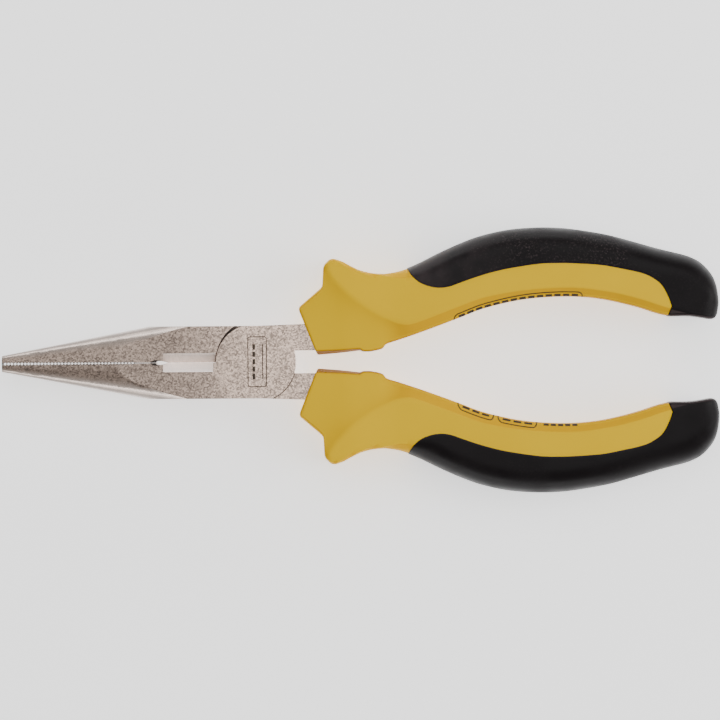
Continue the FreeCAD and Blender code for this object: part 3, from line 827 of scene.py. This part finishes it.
    def grid(self):
        """Points by row and by place round the row, and which row starts and ends the seam."""
        sizes = self.sizes
        places = self.row_places()
        halves, beside = zip(*(self.half_row(u) for u in places))
        halves, beside = np.array(halves), np.array(beside)
        mirrored = halves[:, -2:0:-1] * (1, 1, -1)
        points = np.concatenate([halves, mirrored], axis=1)
        beside = np.concatenate([beside, beside[:, -2:0:-1]], axis=1)
        along = places[:, None]
        on_cover = np.minimum(beside, along - self.cover_start)
        on_cover = np.maximum(on_cover, along - self.cover_end)
        lip = np.clip(on_cover / (sizes.cover_lip / MM), 0, 1)
        rise = sizes.cover_rise / MM * np.sqrt(1 - (1 - lip) ** 2)
        front = self.FRONT_IN * np.clip(1 - along / self.FRONT_OVER, 0, 1) ** 2
        points = points + self.outward(points) * (rise - front)[..., None]
        first = int(np.abs(places - self.cover_start).argmin())
        last = int(np.abs(places - self.cover_end).argmin())
        return points, first, last

    @staticmethod
    def outward(points):
        around = np.roll(points, -1, axis=1) - np.roll(points, 1, axis=1)
        along = np.gradient(points, axis=0)
        normal = np.cross(along, around)
        normal /= np.linalg.norm(normal, axis=-1, keepdims=True) + 1e-12
        middle = points.mean(axis=1, keepdims=True)
        facing = np.sign(((points - middle) * normal).sum(axis=(1, 2), keepdims=True))
        return normal * facing


def shell_faces(rows, around, seam, first, last, cover):
    """The faces of the sleeve, or of the cover, with the walls that close each under the seam."""
    back_seam = around - seam
    faces = []

    def at(row, place):
        return row * around + place % around

    for row in range(rows - 1):
        for place in range(around):
            outside = seam <= place < back_seam
            covered = (row >= first and outside) or row >= last
            if covered == cover:
                here, there = at(row, place), at(row, place + 1)
                faces.append((here, there, at(row + 1, place + 1), at(row + 1, place)))
    for row in range(first, last):
        here, there = at(row, seam), at(row + 1, seam)
        faces.append((here, there, at(row + 1, back_seam), at(row, back_seam)))
    faces.append(tuple(at(first, place) for place in range(seam, back_seam + 1)))
    faces.append(tuple(at(last, place) for place in range(back_seam, around + seam + 1)))
    end = rows - 1 if cover else 0
    faces.append(tuple(at(end, place) for place in range(around)))
    return faces


class PLIERS_OT_grips(bpy.types.Operator):
    """Makes both grips: the yellow sleeves with their guards and the soft black covers"""

    bl_idname = "pliers.grips"
    bl_label = "Grips"

    def execute(self, context):
        sizes = context.scene.pliers_grip
        surface = GripSurface(sizes)
        points, first, last = surface.grid()
        rows, around = points.shape[:2]
        seam = sizes.wall_faces + sizes.edge_faces + sizes.facet_faces + sizes.flat_faces
        for side in (UPPER, LOWER):
            placed = to_cad(points, side).reshape(-1, 3)
            for kind, material, slot in (
                ("sleeve", "yellow_sleeve", "yellow_plastic"),
                ("cover", "black_cover", "black_soft_plastic"),
            ):
                faces = shell_faces(rows, around, seam, first, last, kind == "cover")
                piece = mesh_object(f"{side}_{kind}", placed, faces)
                node = f"{side}_grip_{kind}"
                finish_piece(piece, BODY_OF_GRIP[side], (material,), (node,))
        return {"FINISHED"}


def copy_of_node(name):
    """The node's mesh in place, with its doubled points and its flat faces' cuts merged."""
    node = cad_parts[name]
    work = bmesh.new()
    work.from_mesh(node.data)
    work.transform(node.matrix_world)
    bmesh.ops.remove_doubles(work, verts=work.verts, dist=SAME_POINT)
    flat = math.radians(0.3)
    bmesh.ops.dissolve_limit(work, angle_limit=flat, verts=work.verts, edges=work.edges)
    return work


def break_edges(work, edges, width, segments, clamp):
    """Breaks edges to a narrow bevel."""
    bmesh.ops.bevel(
        work, geom=edges, offset=width, offset_type="OFFSET", segments=segments, profile=0.5,
        affect="EDGES", clamp_overlap=clamp,
    )


class PLIERS_OT_levers(bpy.types.Operator):
    """Makes the two forged levers and the rivet with their edges broken"""

    bl_idname = "pliers.levers"
    bl_label = "Levers and rivet"

    def execute(self, context):
        width = context.scene.pliers_marks.broken_edge
        for name, node, body, slot, materials in (
            ("lower_lever", "lower_jaw_lever", "lower_jaw_side", "tool_steel",
             ("forged_steel", "painted_lit_edges")),
            ("upper_lever", "upper_jaw_lever", "upper_jaw_side", "tool_steel",
             ("forged_steel", "painted_shaded_edges")),
            ("rivet", "pivot_rivet", "lower_jaw_side", "rivet_steel",
             ("ground_rivet", "ground_rivet")),
        ):
            work = copy_of_node(node)
            sharp = [e for e in work.edges if e.calc_face_angle(0.0) > SHARP]
            for edge in sharp:
                edge.smooth = not in_teeth(edge)
            sharp = [e for e in sharp if e.smooth]
            break_edges(work, sharp, width, segments=2, clamp=False)
            closing = [e for e in work.edges if not e.smooth and on_closing_line(e)]
            break_edges(work, closing, width, segments=1, clamp=True)
            for face in work.faces:
                face.smooth = True
                face.material_index = int(in_cutter(face))
            check_closed(work, name)
            mesh = bpy.data.meshes.new(name)
            work.to_mesh(mesh)
            work.free()
            draft = in_scene(name + "_draft", mesh)
            draft.modifiers.new("even", "WEIGHTED_NORMAL").keep_sharp = True
            finish_piece(evaluated(draft, name), body, materials, (node,))
        return {"FINISHED"}


def in_teeth(edge):
    """Whether an edge is on the jaws' closing line, where the teeth are too fine to break."""
    start = JAW_BOX[0].x + 0.66 * (GUARD_BOX[0].x - JAW_BOX[0].x)
    return any(abs(v.co.y) < TEETH_SIDE and v.co.x < start for v in edge.verts)


def on_closing_line(edge):
    """Whether an edge is between the teeth and the cutter."""
    low, high = CLOSING_ENDS
    return all(low < v.co.x / JAW_LENGTH < high for v in edge.verts)


def in_cutter(face):
    """Whether a face is one of the slopes that meet at the cutting edges."""
    centre, (low, high) = face.calc_center_median(), CUTTER_ENDS
    in_window = low < centre.x / JAW_LENGTH < high and abs(centre.y) < CUTTER_SIDE
    return in_window and 0.2 < abs(face.normal.z) < 0.8 and abs(face.normal.y) > 0.5


def evaluated(draft, name):
    """The draft as its modifiers leave it, as an object of its own; the draft goes."""
    bpy.context.view_layer.update()
    shown = draft.evaluated_get(bpy.context.evaluated_depsgraph_get())
    mesh = bpy.data.meshes.new_from_object(shown)
    mesh.name = name
    bpy.data.objects.remove(draft)
    return in_scene(name, mesh)


# ---- marks


def line_tree():
    """Geometry nodes that lay drawn lines on a surface from above and give them a round section."""
    tree = bpy.data.node_groups.new("lines_on_surface", "GeometryNodeTree")
    face = tree.interface
    face.new_socket("Geometry", in_out="OUTPUT", socket_type="NodeSocketGeometry")
    kinds = {"Geometry": "Geometry", "Surface": "Object", "Material": "Material"}
    for name in ("Geometry", "Surface", "Radius", "Sink", "Step", "Material"):
        kind = "NodeSocket" + kinds.get(name, "Float")
        face.new_socket(name, in_out="INPUT", socket_type=kind)
    given = add(tree, "NodeGroupInput")
    surface = add(
        tree, "GeometryNodeObjectInfo", {"Object": given["Surface"]}, transform_space="RELATIVE"
    )
    curve = add(tree, "GeometryNodeMeshToCurve", {"Mesh": given["Geometry"]})["Curve"]
    even = {"Curve": curve, "Length": given["Step"]}
    even = add(tree, "GeometryNodeResampleCurve", even, mode="LENGTH")["Curve"]
    down = {"Ray Direction": (0.0, 0.0, -1.0), "Ray Length": 1.0}
    hit = add(tree, "GeometryNodeRaycast", {"Target Geometry": surface["Geometry"], **down})
    drop = add(tree, "ShaderNodeMath", {0: 0.0, 1: given["Sink"]}, operation="SUBTRACT")[0]
    drop = add(tree, "ShaderNodeCombineXYZ", {"Z": drop})["Vector"]
    where = {0: hit["Hit Position"], 1: drop}
    where = add(tree, "ShaderNodeVectorMath", where, operation="ADD")[0]
    laid = add(tree, "GeometryNodeSetPosition", {"Geometry": even, "Position": where})["Geometry"]
    ring = {"Resolution": 32, "Radius": given["Radius"]}
    ring = add(tree, "GeometryNodeCurvePrimitiveCircle", ring)["Curve"]
    tubes = {"Curve": laid, "Profile Curve": ring, "Fill Caps": True}
    tubes = add(tree, "GeometryNodeCurveToMesh", tubes)["Mesh"]
    real = add(tree, "GeometryNodeRealizeInstances", {"Geometry": tubes})["Geometry"]
    done = {"Geometry": real, "Material": given["Material"]}
    done = add(tree, "GeometryNodeSetMaterial", done)["Geometry"]
    add(tree, "NodeGroupOutput", {"Geometry": done})
    return tree


def framed(left, right, bottom, top, corner):
    """A closed loop round a box with rounded corners."""
    left, right, bottom, top = left + corner, right - corner, bottom + corner, top - corner
    turn = np.linspace(0, math.pi / 2, 6)
    points = []
    corners = ((right, top), (left, top), (left, bottom), (right, bottom))
    for quarter, (x, y) in enumerate(corners):
        angles = turn + quarter * math.pi / 2
        points += [(x + corner * math.cos(a), y + corner * math.sin(a)) for a in angles]
    return points


def lay_lines(name, lines, surface, width, body):
    """Lays inked loops and strokes, given as (points, closed) in metres, on a surface from
    above."""
    material, above = "dark_ink", 50 * MM
    height = bpy.context.scene.pliers_marks.line_height
    points, edges = [], []
    for line, closed in lines:
        first = len(points)
        points += [(x, y, above) for x, y in line]
        edges += [(i, i + 1) for i in range(first, len(points) - 1)]
        if closed:
            edges.append((len(points) - 1, first))
    mesh = bpy.data.meshes.new(name + "_draft")
    mesh.from_pydata(points, edges, [])
    draft = in_scene(name + "_draft", mesh)
    tree = bpy.data.node_groups.get("lines_on_surface") or line_tree()
    modifier = draft.modifiers.new("lines", "NODES")
    modifier.node_group = tree
    radius = width * width / (8 * height) + height / 2
    values = {
        "Surface": surface,
        "Radius": radius,
        "Sink": radius - height,
        "Step": 0.3 * MM,
        "Material": material_named(material),
    }
    for socket in tree.interface.items_tree:
        if socket.in_out == "INPUT" and socket.name in values:
            modifier[socket.identifier] = values[socket.name]
    piece = evaluated(draft, name)
    if not piece.data.polygons:
        raise RuntimeError(f"{name} came out empty")
    finish_piece(piece, body, (material,))


# The prints on each grip, in drawn millimetres: start and end along the handle, height above the
# inner edge, number of dashes and whether an outline goes round them.
PRINTS = {
    UPPER: ((44.2, 72.8, 1.1, 14, True),),
    LOWER: ((44.9, 52.8, 1.45, 3, True), (53.8, 62.4, 1.4, 3, True), (63.0, 72.4, 1.3, 5, False)),
}


class PLIERS_OT_marks(bpy.types.Operator):
    """Lays the plain frame on the joint and the plain outlines on the grips, with no lettering"""

    bl_idname = "pliers.marks"
    bl_label = "Marks"

    def execute(self, context):
        sizes = context.scene.pliers_marks
        self.mark_joint(sizes)
        surface = GripSurface(context.scene.pliers_grip)
        for side, prints in PRINTS.items():
            self.mark_grip(sizes, surface, side, prints)
        return {"FINISHED"}

    def mark_joint(self, sizes):
        x, y = sizes.frame_centre_x, sizes.frame_centre_y
        wide, high = sizes.frame_width / 2, sizes.frame_height / 2
        frame_line = framed(x - wide, x + wide, y - high, y + high, sizes.frame_corner)

        def upright(at_x, middle, half):
            return ((at_x, middle - half), (at_x, middle + half)), False

        dash_x, half_dash = x - wide + sizes.dash_inset, sizes.dash_length / 2
        dashes = [upright(dash_x, y + i * sizes.dash_pitch, half_dash) for i in range(-2, 3)]
        thin_line = upright(x + wide - sizes.line_inset, y, sizes.line_share * high)
        lines = [(frame_line, True), thin_line]
        # The joint's face, wide enough to lie under every mark.
        corners = [(sx * 0.1, sy * 0.1, FACE_Z) for sx, sy in ((-1, -1), (1, -1), (1, 1), (-1, 1))]
        mesh = bpy.data.meshes.new("joint_plane")
        mesh.from_pydata(corners, [], [(0, 1, 2, 3)])
        plane = in_scene("joint_plane", mesh)
        for name, drawn, width in (
            ("frame", lines, sizes.line_width),
            ("dashes", dashes, sizes.dash_width),
        ):
            lay_lines(f"joint_{name}", drawn, plane, width, "lower_jaw_side")
        bpy.data.objects.remove(plane)
        bpy.data.meshes.remove(mesh)

    def mark_grip(self, sizes, surface, side, prints):
        inner = surface.side_rows[:, :2]
        turn = 1 if side == UPPER else -1

        def beside_edge(x, away):
            y = np.interp(x, inner[:, 0], inner[:, 1]) + away / MM
            placed = to_cad((x, y, 0.0), UPPER)
            return placed[0], turn * placed[1]

        low, bend, margin = (
            size / MM for size in (sizes.print_end, sizes.print_bend, sizes.print_margin)
        )
        turned = np.linspace(0, math.pi / 2, 7)
        lines, dashes = [], []
        for start, end, top, dash_count, outlined in prints:
            if outlined:
                rise = [(bend * (1 - math.cos(t)), low + (top - low) * math.sin(t)) for t in turned]
                along = np.linspace(start + bend, end - bend, 1 + int((end - start) / 0.5))[1:-1]
                path = [(start + a, up) for a, up in rise]
                path += [(a, top) for a in along]
                path += [(end - a, up) for a, up in reversed(rise)]
                lines.append(([beside_edge(a, up * MM) for a, up in path], False))
            pitch = (end - start - 2 * margin) / dash_count
            for i in range(dash_count):
                at = start + margin + (i + 0.5) * pitch
                reached = [at + share * pitch for share in (-0.36, 0.0, 0.36)]
                dashes.append(([beside_edge(x, 0.48 * top * MM) for x in reached], False))
        sleeve, body = bpy.data.objects[f"{side}_sleeve"], BODY_OF_GRIP[side]
        for name, drawn, width in (
            ("print", lines, sizes.line_width),
            ("dashes", dashes, sizes.print_dash_width),
        ):
            lay_lines(f"{side}_{name}", drawn, sleeve, width, body)


# ---- stage


def aim(obj, target):
    obj.rotation_euler = (Vector(target) - obj.location).to_track_quat("-Z", "Y").to_euler()


class PLIERS_OT_stage(bpy.types.Operator):
    """Lays the floor and sets up the light and the camera"""

    bl_idname = "pliers.stage"
    bl_label = "Stage"

    def execute(self, context):
        scene, stage = context.scene, context.scene.pliers_stage
        low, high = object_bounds()
        self.lay_floor(low.z)
        centre = Vector((stage.view_centre_x, stage.view_centre_y, MIDDLE_Z))

        camera = in_scene("camera", bpy.data.cameras.new("camera"))
        camera.data.lens = stage.focal_length
        camera.data.clip_start = 0.01
        distance = stage.view_width * stage.focal_length / camera.data.sensor_width
        camera.location = centre + Vector((0, 0, distance))
        camera.rotation_euler = (0, 0, stage.view_roll)
        scene.camera = camera

        # Each light's place from the view's middle, its width, its height and its power.
        lights = (
            ("top", (0.02, 0.30, 0.90), 0.9, 0.9, stage.top_power),
            ("upper_side", (-0.08, 0.5, 0.085), 0.5, 0.12, stage.side_power),
            ("lower_side", (-0.08, -0.5, 0.085), 0.5, 0.12, stage.side_power),
            ("back", (0.62, 0.0, 0.36), 0.5, 0.5, stage.back_power),
        )
        for name, offset, wide, high, power in lights:
            data = bpy.data.lights.new(name, "AREA")
            data.shape = "RECTANGLE"
            data.size = wide
            data.size_y = high
            data.energy = power
            light = in_scene(name, data)
            light.location = centre + Vector(offset)
            aim(light, centre)

        world = bpy.data.worlds.new("white_room")
        world.use_nodes = True
        sky = world.node_tree.nodes["Background"]
        fill(world.node_tree, sky, {"Color": (1, 1, 1, 1), "Strength": stage.sky_strength})
        scene.world = world
        return {"FINISHED"}

    def lay_floor(self, top):
        mesh = bpy.data.meshes.new("floor")
        work = bmesh.new()
        bmesh.ops.create_circle(work, cap_ends=True, segments=96, radius=1.6)
        work.to_mesh(mesh)
        work.free()
        floor = in_scene("floor", mesh)
        mesh.materials.append(material_named("pale_floor"))
        floor.location.z = top - 0.05 * MM
        floor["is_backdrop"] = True


# ---- panel and main

PIECES = (PLIERS_OT_levers, PLIERS_OT_grips, PLIERS_OT_marks, PLIERS_OT_stage)


class PLIERS_PT_pieces(bpy.types.Panel):
    """Lists the pieces and their sizes"""

    bl_idname = "PLIERS_PT_pieces"
    bl_label = "Needle nose pliers"
    bl_space_type = "VIEW_3D"
    bl_region_type = "UI"
    bl_category = "Pliers"

    def draw(self, context):
        for piece in PIECES:
            self.layout.operator(piece.bl_idname)
        for group in GROUPS:
            box = self.layout.box()
            values = getattr(context.scene, group)
            for name in values.__annotations__:
                box.prop(values, name)


GROUPS = {
    "pliers_grip": GripSizes,
    "pliers_marks": MarkSizes,
    "pliers_finishes": Finishes,
    "pliers_stage": StageSizes,
}


def register():
    for kind in (*GROUPS.values(), *PIECES, PLIERS_PT_pieces):
        bpy.utils.register_class(kind)
    for name, kind in GROUPS.items():
        setattr(bpy.types.Scene, name, bpy.props.PointerProperty(type=kind))


def unregister():
    for name in GROUPS:
        delattr(bpy.types.Scene, name)
    for kind in (PLIERS_PT_pieces, *reversed(PIECES), *reversed(GROUPS.values())):
        bpy.utils.unregister_class(kind)


def main():
    register()
    for piece in PIECES:
        group, name = piece.bl_idname.split(".")
        getattr(getattr(bpy.ops, group), name)()


if __name__ == "__main__":
    main()
